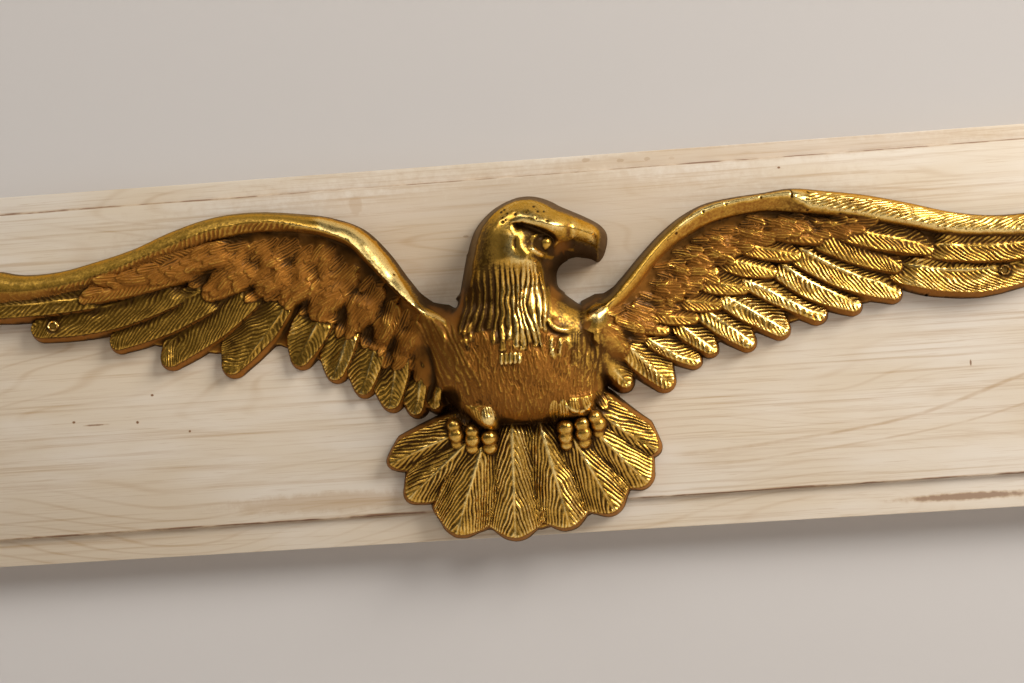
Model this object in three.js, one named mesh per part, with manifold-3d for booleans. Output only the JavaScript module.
// Eagle wall plaque: a cast eagle with spread wings on a pale wooden board.
// Millimetres. +X is to the viewer's right, +Z is up and the front faces -Y.
// The origin is the centre of the board's back face.

import * as THREE from "three";
import Module from "manifold-3d";

const wasm = await Module();
wasm.setup();

// Board
const BOARD_LENGTH = 610;
const BOARD_HEIGHT = 185;
const STRIP_FRONT = 15;
const FIELD_FRONT = 18;
const TOP_STRIP_LEFT = 9.3;
const TOP_STRIP_RIGHT = 7.6;
const BOTTOM_STRIP_LEFT = 13.2;
const BOTTOM_STRIP_RIGHT = 16.8;
const ARRIS = 0.8;
const FIELD_ROOT = 5;

// Eagle
const GAP = 0.3;
const EAGLE_BACK = FIELD_FRONT + GAP;
const TRIM_DEPTH = 1;
const SIDE_DRAFT = 0.256;
const NOSE_DRAFT = 0.32;
const RIM_HEIGHT = 0.2;

// Fixing pins
const PIN_PLACES = { left: [-231.5, 25.1], right: [231.5, 21.0] };
const PIN_SHANK_RADIUS = 0.8;
const PIN_HOLE_RADIUS = 1.1;
const PIN_HEAD_RADIUS = 1.4;
const PIN_HEAD_HEIGHT = 1.2;
const RING_INNER_RADIUS = 1.7;
const RING_OUTER_RADIUS = 2.5;
const RING_TOP = 8.2;
const RING_FLOOR = 5.6;
const PIN_DEPTH = 12;
const PIN_JOIN = 0.5;

// Cutting tools reach this far in front of a face and run this far past it.
const CUT_REACH = 40;
const CUT_OVERRUN = 5;
const BLOCK_LENGTH = 700;
const BLOCK_DEPTH = 20;
const BLOCK_HEIGHT = 300;

// Points closer than a tenth of a micrometre are one point.
const MERGE_PER_MM = 1e4;

// Colours and finishes
const LIMED_WOOD = { color: 0xd9cbb2, metalness: 0, roughness: 0.75 };
const OLD_GOLD = { color: 0x9a6f2a, metalness: 0.9, roughness: 0.4 };
const DULL_BRASS = { color: 0x8a6a34, metalness: 0.9, roughness: 0.4 };

// Heights of the feathers above the eagle's back, and the rise of the free edge and the quill.
const FLIGHT = { rootHeight: 6, tipHeight: 3.6, lift: 2, ridge: 0.5 };
const COVERT = { rootHeight: 8, tipHeight: 7.2, lift: 1.4, ridge: 0.4 };
const TAIL = { rootHeight: 11, tipHeight: 6, lift: 0, ridge: 1.2 };
// A feather's width is set at these shares of its straight length, then rounds off in its tip.
const EARLY_SHARE = 0.25;
const EARLY_FILL = 0.6;
const MIDDLE_SHARE = 0.5;
const LATE_SHARE = 0.78;
const LATE_TAPER = 0.45;
const TIP_DEGREES = [32, 58, 78];

// Rounded sections: a lower fullness is a boxier arch, and steps are the flats across it.
const ROUNDING = {
  trunk: { fullness: 0.62, steps: 9 },
  skull: { fullness: 0.5, steps: 9 },
  beak: { fullness: 0.42, steps: 8 },
  shank: { fullness: 0.6, steps: 6 },
  edge: { fullness: 0.6, steps: 6 },
  toe: { fullness: 0.55, steps: 4 },
};
const BAR_SEGMENTS = 16;
const BALL_AROUND = 14;
const BALL_UP = 10;

// A feather is [root x, root z, tip x, tip z, bow, half width at the root, in the middle, at the tip].
// The bow is how far its middle is pushed towards its free edge.
const RIGHT_FLIGHTS = [
  [41, -9, 49.5, -23, 0, 4.2, 4.8, 3.6],
  [47, 0, 70, -24, 0, 5.2, 6.7, 4.6],
  [57, 4, 84.5, -13.2, 1, 4.6, 5.2, 3.6],
  [72, 8, 92.4, -8.8, 0, 4.5, 4.9, 3.6],
  [83, 15, 111, -6.8, 0.5, 4.8, 5.5, 4],
  [93, 21, 127.6, -1.8, 0, 5, 6.2, 4.4],
  [104.8, 28.2, 146, 4.8, 0, 5.2, 5.9, 4.6],
  [121, 33, 163, 8.4, 2.6, 5.2, 5.8, 4],
  [130, 39, 182.6, 13.2, 3, 5.4, 6, 4],
  [141, 44, 183.5, 25.6, 0.5, 5.2, 6, 4],
  [182, 22.8, 262, 27, 7.5, 4.6, 6.2, 4.2],
  [197, 33, 268, 34.5, 3.6, 4.2, 4.8, 4],
  [150, 46, 199, 33, 0.5, 4.2, 4.8, 3.4],
];
const LEFT_FLIGHTS = [
  [-44, -13, -45.2, -28, 0, 3, 3.7, 3],
  [-52, -9, -55.3, -30, 0, 4, 4.9, 4],
  [-60.5, 3, -67.6, -26.4, 0, 5, 7, 5],
  [-71.5, 9, -81.4, -18.4, 0, 5, 6.7, 4.8],
  [-84, 17, -94.8, -10.4, 0, 5.4, 6.4, 4.8],
  [-96, 24, -112.6, -2, 0, 6, 7.4, 5.2],
  [-115, 34, -147.4, -3.2, 0.5, 7.4, 9, 5.6],
  [-129, 36, -178.6, 3.6, 0.5, 6.4, 8, 5.4],
  [-148, 35, -204, 14.4, 1, 6, 7, 4.8],
  [-164, 39, -243, 24.4, 4.2, 5.6, 6.6, 5],
  [-205, 36.4, -268, 34.6, 1, 3.8, 4.2, 4],
];
const RIGHT_COVERTS = [
  [37, 1, 50.5, -6, 0, 3.2, 3.7, 2.6],
  [48, 9, 70.4, 2.8, 0.4, 3.4, 4, 2.8],
  [60, 12.5, 84.8, 8, 1.2, 3.4, 3.9, 2.8],
  [73, 17.5, 96.8, 14, 1.2, 3.2, 3.9, 2.9],
  [82, 26.5, 110, 20.6, 1, 3.6, 4.4, 3.1],
  [96, 35.5, 123.8, 27.4, 1, 4, 4.7, 3.2],
  [103, 43, 135.6, 34.4, 1, 3.6, 4.4, 3],
  [78, 32.5, 95.8, 29.2, 0, 2.6, 3.1, 2.4],
  [88, 40, 105, 37.4, 0, 2.8, 3.2, 2.4],
  [118, 47, 146, 41, 0, 2.8, 3.4, 2.4],
];
const LEFT_COVERTS = [
  [-52, 11, -58, 1, 0, 3.6, 4.2, 3.4],
  [-62, 20, -70, 6, 0, 4, 4.6, 3.6],
  [-70, 29, -84, 13, 0, 4.4, 5, 3.8],
  [-84, 37, -103, 20.5, 0, 5, 6, 4.4],
  [-98, 42, -118, 28.6, 0, 5, 6, 4.2],
  [-110, 46, -129, 34.4, 0, 5, 5.6, 4],
  [-128, 48, -156, 34.6, 1.4, 5, 5.4, 3.8],
  [-158, 48, -217, 37, 1, 4, 4, 3],
  [-138, 55, -194, 45, 1, 3.6, 4, 2.8],
];
const TAIL_FEATHERS = [
  [-22, -36, -68.6, -53.2, 1, 4.6, 4.8, 4.4],
  [-24, -40, -60.6, -70.4, 0, 5, 5.8, 5.8],
  [28, -28, 61, -54.4, 1.6, 4.8, 5.2, 5.2],
  [27, -38, 55.2, -70, 0, 5, 6.6, 7.2],
  [-21, -42, -38.4, -88.8, 0, 5, 9, 10.2],
  [18, -40, 38.6, -82.4, 0, 5, 8, 8.8],
  [-8, -34, -10, -92.2, 0, 5, 9.4, 11.4],
  [5, -36, 16.6, -88.6, 0, 4.6, 8.8, 10.6],
];

// The rolled front edge of a wing: [outer x, outer z, inner x, inner z, height].
const RIGHT_EDGE = [
  [33, 18.8, 33, 6, 27],
  [42, 23, 47, 12, 22],
  [50, 31, 57, 21.5, 19],
  [60, 41.5, 66, 32.5, 17],
  [70, 51, 76, 41.5, 16],
  [80, 58.3, 86, 47.5, 15],
  [90, 63, 95, 51.5, 14.5],
  [105, 65.8, 107, 54, 14],
  [120, 67, 120, 55, 14],
  [134, 68.2, 133, 53.5, 14],
  [150, 66, 149, 51, 13.5],
  [170, 62.5, 167, 47.5, 13],
  [190, 57.3, 187, 43, 12],
  [210, 51.5, 208, 38, 11],
  [230, 48.4, 229, 36.2, 10],
  [247, 48.6, 247, 35.6, 9],
  [261, 51, 262, 38, 8],
  [270, 52, 272.5, 45, 6],
];
const LEFT_EDGE = [
  [-36, 18.4, -38, 8, 27],
  [-45, 24, -50, 15.5, 22],
  [-55, 37, -62, 28, 19],
  [-65, 52, -74, 42, 17],
  [-75, 62.5, -83, 52, 16],
  [-90, 69.3, -95, 58, 15],
  [-110, 73.3, -112, 61.5, 14],
  [-130, 75.3, -130, 62, 14],
  [-150, 74.2, -148, 59.5, 13.5],
  [-170, 69, -166, 54.5, 13],
  [-190, 61.5, -186, 49, 12],
  [-210, 56.3, -206, 42.5, 11],
  [-230, 52.4, -229, 38.6, 10],
  [-250, 52.3, -250, 37.2, 9],
  [-262, 55, -263, 38.6, 8],
  [-269, 56, -272.5, 48, 6],
];
// Notches between the feather tips, where the webs under the feathers end.
const RIGHT_NOTCHES = [
  [258, 32],
  [236, 22],
  [210, 15],
  [187, 17],
  [167, 11],
  [147, 8],
  [129, 3.5],
  [110.5, -0.5],
  [92, -4],
  [84, -8],
  [69, -13],
  [50.5, -18.5],
  [36, -16],
];
const LEFT_NOTCHES = [
  [-258, 34],
  [-241, 29],
  [-207, 20],
  [-180, 12.5],
  [-152, 7],
  [-120, 9],
  [-102, 1],
  [-89.5, -8],
  [-76, -16.5],
  [-60.5, -22.5],
  [-48, -27],
  [-36, -26],
];
const TAIL_NOTCHES = [
  [-36, -33],
  [-61, -49],
  [-60.5, -57.5],
  [-49, -72],
  [-24, -86.5],
  [2.6, -88],
  [26, -82.5],
  [44, -72],
  [55, -57],
  [44, -37],
  [36, -28],
];
const WEB_TOP = 5;

// Trunk and neck: [z, left x, right x, height].
const TRUNK = [
  [-38, -16, 20, 10],
  [-34, -28, 30, 18],
  [-27, -37, 37, 26],
  [-16, -44, 39.5, 32],
  [-4, -49, 42, 35],
  [7, -47, 40, 35],
  [14, -40, 34, 35],
  [20, -33, 26.5, 34],
  [27, -30.4, 19, 34],
  [34, -28.6, 17.6, 35],
  [40, -27, 20, 36],
];
// Skull: [z, left x, right x, height].
const SKULL = [
  [38, -27.4, 18, 37],
  [44, -25.8, 25, 39],
  [52, -23.6, 27, 40],
  [59, -20.4, 26, 39],
  [65, -15.2, 24, 35],
  [69.5, -9, 18.4, 29],
  [72.6, -1, 11, 19],
];
// Beak: [x, lower z, upper z, height].
const BEAK = [
  [16, 39, 69.4, 37],
  [22, 40, 67, 35],
  [27, 41, 64.6, 33],
  [33, 40.8, 61.8, 31],
  [37.5, 38.8, 59.2, 28],
  [41, 41, 56.8, 24],
  [43.4, 46.4, 53.6, 18],
];
const EYE = [14.6, 45.6, 36.4];
const EYE_RADIUS = 3.6;
const EYE_FLATNESS = 0.8;
const SOCKET_OFFSET = [-2, 0.6, 4];
const SOCKET_RADII = [8.2, 4.6, 6];
const SOCKET_TURN = -0.42;
// Brow: [x, z, height, half width].
const BROW = [
  [-5, 58, 39.4, 2],
  [2, 56.4, 41.4, 4],
  [10, 53.6, 41.8, 4.6],
  [18, 50, 40, 3.8],
  [24, 46.8, 37, 1.8],
];
const BROW_SINK = 8;
const BROW_LOW_EDGE = 1.2;
const BROW_HIGH_EDGE = 1.6;
const BROW_FOOT = 1.6;

// Toes of both feet: [x, z at the top, z at the foot, half width].
const TOES = [
  [-35.5, -33.5, -46, 3.4],
  [-27.4, -37.5, -49.5, 3.5],
  [-18.8, -40, -49.5, 3.4],
  [17.6, -37.5, -50, 3.5],
  [26.4, -36.6, -49.5, 3.6],
  [33.2, -33.5, -44, 3.3],
];
const TOE_TOP = 17;
const TOE_DROP = 4;
const TOE_SECTIONS = 9;
const TOE_END_SWELL = 0.12;
const TOE_END_HEIGHT = 0.8;
const TOE_WIDTH = 0.85;
const KNUCKLE_RISE = 1.6;
const KNUCKLE_WIDTH = 0.1;
// Feathered shanks above the feet: [z, left x, right x, height].
const LEFT_SHANK = [
  [-41, -21, -13, 17],
  [-36, -27, -11, 22],
  [-30, -32, -10, 24],
  [-24, -34, -10, 26],
];
const RIGHT_SHANK = [
  [-38, 12, 29, 17],
  [-34, 10, 33, 21],
  [-29, 9, 35, 24],
  [-23, 9, 36, 26],
];

function toPart(x, z, height) {
  return [x, -(EAGLE_BACK + height), z];
}

function signedVolume(vertices, triangles) {
  let sum = 0;
  for (let i = 0; i < triangles.length; i += 3) {
    const [a, b, c] = [0, 1, 2].map((k) => new THREE.Vector3(...vertices[triangles[i + k]]));
    sum += a.dot(b.cross(c));
  }
  return sum;
}

// Closed solid through a row of closed sections with equal numbers of points.
function loft(sections) {
  const count = sections[0].length;
  const vertices = sections.flat();
  const triangles = [];
  for (let i = 0; i < sections.length - 1; i += 1) {
    for (let j = 0; j < count; j += 1) {
      const a = i * count + j;
      const b = i * count + ((j + 1) % count);
      triangles.push(a, b, b + count, a, b + count, a + count);
    }
  }
  const last = (sections.length - 1) * count;
  for (let j = 1; j < count - 1; j += 1) {
    triangles.push(0, j + 1, j);
    triangles.push(last, last + j, last + j + 1);
  }
  if (signedVolume(vertices, triangles) < 0) {
    triangles.reverse();
  }
  return new wasm.Manifold(new wasm.Mesh({
    numProp: 3,
    vertProperties: new Float32Array(vertices.flat()),
    triVerts: new Uint32Array(triangles),
  }));
}

function fromGeometry(source) {
  const geometry = source.index ? source.toNonIndexed() : source;
  const position = geometry.getAttribute("position");
  const found = new Map();
  const vertices = [];
  const triangles = [];
  for (let i = 0; i < position.count; i += 1) {
    const point = [position.getX(i), position.getY(i), position.getZ(i)];
    const key = point.map((value) => Math.round(value * MERGE_PER_MM)).join(" ");
    if (!found.has(key)) {
      found.set(key, vertices.length);
      vertices.push(point);
    }
    triangles.push(found.get(key));
  }
  const kept = [];
  for (let i = 0; i < triangles.length; i += 3) {
    const [a, b, c] = triangles.slice(i, i + 3);
    if (a !== b && b !== c && c !== a) {
      kept.push(a, b, c);
    }
  }
  return new wasm.Manifold(new wasm.Mesh({
    numProp: 3,
    vertProperties: new Float32Array(vertices.flat()),
    triVerts: new Uint32Array(kept),
  }));
}

function toMesh(name, solid, finish) {
  const { vertProperties, triVerts, numProp } = solid.getMesh();
  const positions = new Float32Array((vertProperties.length / numProp) * 3);
  for (let i = 0; i < positions.length / 3; i += 1) {
    positions.set(vertProperties.subarray(i * numProp, i * numProp + 3), i * 3);
  }
  const geometry = new THREE.BufferGeometry();
  geometry.setAttribute("position", new THREE.BufferAttribute(positions, 3));
  geometry.setIndex(new THREE.BufferAttribute(new Uint32Array(triVerts), 1));
  geometry.computeVertexNormals();
  const mesh = new THREE.Mesh(geometry, new THREE.MeshStandardMaterial(finish));
  mesh.name = name;
  return mesh;
}

// Round bar along Y, centred on x, z, between two distances from the wall.
function barAlongY(x, z, radius, front, back) {
  const geometry = new THREE.CylinderGeometry(radius, radius, front - back, BAR_SEGMENTS);
  geometry.translate(x, -(front + back) / 2, z);
  return fromGeometry(geometry);
}

// Block behind a plane at a distance from the wall, for cutting a piece off flat.
function blockBehind(distance) {
  const geometry = new THREE.BoxGeometry(BLOCK_LENGTH, BLOCK_DEPTH, BLOCK_HEIGHT);
  geometry.translate(0, BLOCK_DEPTH / 2 - distance, 0);
  return fromGeometry(geometry);
}

function mix(a, b, t) {
  return a + (b - a) * t;
}

// One feather: a flat blade with a raised quill, a high free edge and sloping walls.
// side is +1 when the free edge is to the right of the way it grows, seen from the front.
function feather(row, side, { rootHeight, tipHeight, lift, ridge }) {
  const [rootX, rootZ, tipX, tipZ, bow, rootHalf, midHalf, tipHalf] = row;
  const length = Math.hypot(tipX - rootX, tipZ - rootZ);
  const along = [(tipX - rootX) / length, (tipZ - rootZ) / length];
  const free = [along[1] * side, -along[0] * side];
  const straight = length - tipHalf;
  const stations = [
    [0, rootHalf],
    [straight * EARLY_SHARE, mix(rootHalf, midHalf, EARLY_FILL)],
    [straight * MIDDLE_SHARE, midHalf],
    [straight * LATE_SHARE, mix(midHalf, tipHalf, LATE_TAPER)],
    [straight, tipHalf],
  ];
  for (const degrees of TIP_DEGREES) {
    const angle = THREE.MathUtils.degToRad(degrees);
    stations.push([straight + tipHalf * Math.sin(angle), tipHalf * Math.cos(angle)]);
  }
  const sections = stations.map(([u, half]) => {
    const t = u / length;
    const push = bow * 4 * t * (1 - t);
    const turn = Math.atan((bow * 4 * (1 - 2 * t)) / length);
    const across = [
      free[0] * Math.cos(turn) - along[0] * Math.sin(turn),
      free[1] * Math.cos(turn) - along[1] * Math.sin(turn),
    ];
    const height = mix(rootHeight, tipHeight, t);
    const nose = Math.max(0, (u - straight) / tipHalf);
    const place = (v, forward, h) => toPart(
      rootX + along[0] * (u + forward) + free[0] * push + across[0] * v,
      rootZ + along[1] * (u + forward) + free[1] * push + across[1] * v,
      h,
    );
    const foot = (edge, h) => place(
      edge + Math.sign(edge) * (h + TRIM_DEPTH) * SIDE_DRAFT,
      (h + TRIM_DEPTH) * NOSE_DRAFT * nose,
      -TRIM_DEPTH,
    );
    const high = height + lift;
    return [
      foot(-half, height),
      place(-half, 0, height),
      place(0, 0, (height + high) / 2 + ridge),
      place(half, 0, high),
      foot(half, high),
    ];
  });
  return loft(sections);
}

// Arch-shaped section of points between two places of the relief.
function arch(from, to, height, { fullness, steps }) {
  const points = [toPart(from[0], from[1], -TRIM_DEPTH)];
  for (let k = 0; k <= steps; k += 1) {
    const angle = (Math.PI * k) / steps;
    const t = (1 - Math.cos(angle)) / 2;
    const h = Math.max(height * Math.sin(angle) ** fullness, RIM_HEIGHT);
    points.push(toPart(mix(from[0], to[0], t), mix(from[1], to[1], t), h));
  }
  points.push(toPart(to[0], to[1], -TRIM_DEPTH));
  return points;
}

function domeAlongZ(rows, rounding) {
  return loft(rows.map(([z, left, right, height]) => arch([left, z], [right, z], height, rounding)));
}

function domeAlongX(rows, rounding) {
  return loft(rows.map(([x, low, high, height]) => arch([x, low], [x, high], height, rounding)));
}

function wingEdge(rows) {
  return loft(rows.map(([ox, oz, ix, iz, height]) => arch([ox, oz], [ix, iz], height, ROUNDING.edge)));
}

// Flat web under the feathers, so that no gap opens between them.
function web(outline) {
  const shape = new THREE.Shape();
  outline.forEach(([x, z], i) => {
    if (i === 0) {
      shape.moveTo(x, z);
    } else {
      shape.lineTo(x, z);
    }
  });
  const geometry = new THREE.ExtrudeGeometry(shape, {
    depth: WEB_TOP + TRIM_DEPTH,
    bevelEnabled: false,
    steps: 1,
  });
  geometry.rotateX(Math.PI / 2);
  geometry.translate(0, -(EAGLE_BACK - TRIM_DEPTH), 0);
  return fromGeometry(geometry);
}

function wingWeb(edge, notches) {
  const upper = edge.slice(0, -1).map(([ox, oz, ix, iz]) => [mix(ox, ix, 0.5), mix(oz, iz, 0.5)]);
  return web([...upper, ...notches]);
}

// One toe with two knuckles, as round sections from its top down to its foot.
function toe([x, top, foot, half]) {
  const sections = [];
  for (let i = 0; i <= TOE_SECTIONS; i += 1) {
    const t = i / TOE_SECTIONS;
    const swell = Math.sqrt(Math.max(TOE_END_SWELL, 1 - (2 * t - 1) ** 4));
    const knuckle = Math.abs(Math.sin(Math.PI * 2 * t)) * KNUCKLE_RISE;
    const z = mix(top, foot, t);
    const height = (TOE_TOP - TOE_DROP * t) * mix(TOE_END_HEIGHT, 1, swell) + knuckle;
    const wide = half * swell * (TOE_WIDTH + knuckle * KNUCKLE_WIDTH);
    sections.push(arch([x - wide, z], [x + wide, z], height, ROUNDING.toe));
  }
  return loft(sections);
}

function ellipsoid(centre, radii, turn) {
  const geometry = new THREE.SphereGeometry(1, BALL_AROUND, BALL_UP);
  geometry.scale(radii[0], radii[2], radii[1]);
  geometry.rotateY(-turn);
  const [x, y, z] = toPart(centre[0], centre[1], centre[2]);
  geometry.translate(x, y, z);
  return fromGeometry(geometry);
}

function brow() {
  const sections = BROW.map(([x, z, height, half]) => [
    toPart(x, z - half, height - BROW_SINK),
    toPart(x, z - half, height - BROW_LOW_EDGE),
    toPart(x, z, height),
    toPart(x, z + half, height - BROW_HIGH_EDGE),
    toPart(x, z + half * BROW_FOOT, height - BROW_SINK),
  ]);
  return loft(sections);
}

function head() {
  const skull = domeAlongZ(SKULL, ROUNDING.skull);
  const beak = domeAlongX(BEAK, ROUNDING.beak);
  const socketCentre = EYE.map((value, k) => value + SOCKET_OFFSET[k]);
  const socket = ellipsoid(socketCentre, SOCKET_RADII, SOCKET_TURN);
  const eye = ellipsoid(EYE, [EYE_RADIUS, EYE_RADIUS * EYE_FLATNESS, EYE_RADIUS], 0);
  return skull.add(beak).subtract(socket).add(eye).add(brow());
}

function fixingRing([x, z]) {
  return barAlongY(x, z, RING_OUTER_RADIUS, EAGLE_BACK + RING_TOP, EAGLE_BACK - TRIM_DEPTH);
}

function fixingHole([x, z]) {
  const seat = barAlongY(x, z, RING_INNER_RADIUS, EAGLE_BACK + CUT_REACH, EAGLE_BACK + RING_FLOOR);
  const hole = barAlongY(x, z, PIN_HOLE_RADIUS, EAGLE_BACK + CUT_REACH, EAGLE_BACK - CUT_OVERRUN);
  return seat.add(hole);
}

function makeEagle() {
  const parts = [
    domeAlongZ(TRUNK, ROUNDING.trunk),
    head(),
    domeAlongZ(LEFT_SHANK, ROUNDING.shank),
    domeAlongZ(RIGHT_SHANK, ROUNDING.shank),
    wingEdge(RIGHT_EDGE),
    wingEdge(LEFT_EDGE),
    wingWeb(RIGHT_EDGE, RIGHT_NOTCHES),
    wingWeb(LEFT_EDGE, LEFT_NOTCHES),
    web(TAIL_NOTCHES),
    ...TOES.map(toe),
    ...RIGHT_FLIGHTS.map((row) => feather(row, 1, FLIGHT)),
    ...LEFT_FLIGHTS.map((row) => feather(row, -1, FLIGHT)),
    ...RIGHT_COVERTS.map((row) => feather(row, 1, COVERT)),
    ...LEFT_COVERTS.map((row) => feather(row, -1, COVERT)),
    ...TAIL_FEATHERS.map((row) => feather(row, 1, TAIL)),
    ...Object.values(PIN_PLACES).map(fixingRing),
  ];
  let solid = parts[0];
  for (const part of parts.slice(1)) {
    solid = solid.add(part);
  }
  for (const place of Object.values(PIN_PLACES)) {
    solid = solid.subtract(fixingHole(place));
  }
  return solid.subtract(blockBehind(EAGLE_BACK));
}

// The raised field is a little out of square with the board.
function fieldOutline() {
  const half = BOARD_LENGTH / 2;
  const shape = new THREE.Shape();
  shape.moveTo(-half, -BOARD_HEIGHT / 2 + BOTTOM_STRIP_LEFT);
  shape.lineTo(half, -BOARD_HEIGHT / 2 + BOTTOM_STRIP_RIGHT);
  shape.lineTo(half, BOARD_HEIGHT / 2 - TOP_STRIP_RIGHT);
  shape.lineTo(-half, BOARD_HEIGHT / 2 - TOP_STRIP_LEFT);
  return shape;
}

function boardOutline() {
  const half = BOARD_LENGTH / 2;
  const shape = new THREE.Shape();
  shape.moveTo(-half, -BOARD_HEIGHT / 2);
  shape.lineTo(half, -BOARD_HEIGHT / 2);
  shape.lineTo(half, BOARD_HEIGHT / 2);
  shape.lineTo(-half, BOARD_HEIGHT / 2);
  return shape;
}

// Flat slab between two distances from the wall, with a small bevel around its front.
function slab(outline, back, front) {
  const geometry = new THREE.ExtrudeGeometry(outline, {
    depth: front - back,
    bevelEnabled: true,
    bevelThickness: ARRIS,
    bevelSize: ARRIS,
    bevelOffset: -ARRIS,
    bevelSegments: 1,
    steps: 1,
  });
  geometry.rotateX(Math.PI / 2);
  geometry.translate(0, -back + ARRIS, 0);
  return fromGeometry(geometry);
}

function makeBoard() {
  const base = slab(boardOutline(), ARRIS, STRIP_FRONT);
  const field = slab(fieldOutline(), STRIP_FRONT - FIELD_ROOT, FIELD_FRONT);
  let solid = base.add(field).subtract(blockBehind(0));
  const holeFloor = FIELD_FRONT - PIN_DEPTH - GAP;
  for (const [x, z] of Object.values(PIN_PLACES)) {
    solid = solid.subtract(barAlongY(x, z, PIN_HOLE_RADIUS, FIELD_FRONT + CUT_OVERRUN, holeFloor));
  }
  return solid;
}

function makePin([x, z]) {
  const headBack = EAGLE_BACK + RING_FLOOR + GAP;
  const shank = barAlongY(x, z, PIN_SHANK_RADIUS, headBack + PIN_JOIN, FIELD_FRONT - PIN_DEPTH);
  const cap = barAlongY(x, z, PIN_HEAD_RADIUS, headBack + PIN_HEAD_HEIGHT, headBack);
  return shank.add(cap);
}

const part = new THREE.Group();
part.name = "eagle_wall_plaque";
part.add(toMesh("backboard", makeBoard(), LIMED_WOOD));
part.add(toMesh("eagle", makeEagle(), OLD_GOLD));
part.add(toMesh("left_fixing_pin", makePin(PIN_PLACES.left), DULL_BRASS));
part.add(toMesh("right_fixing_pin", makePin(PIN_PLACES.right), DULL_BRASS));

export default part;
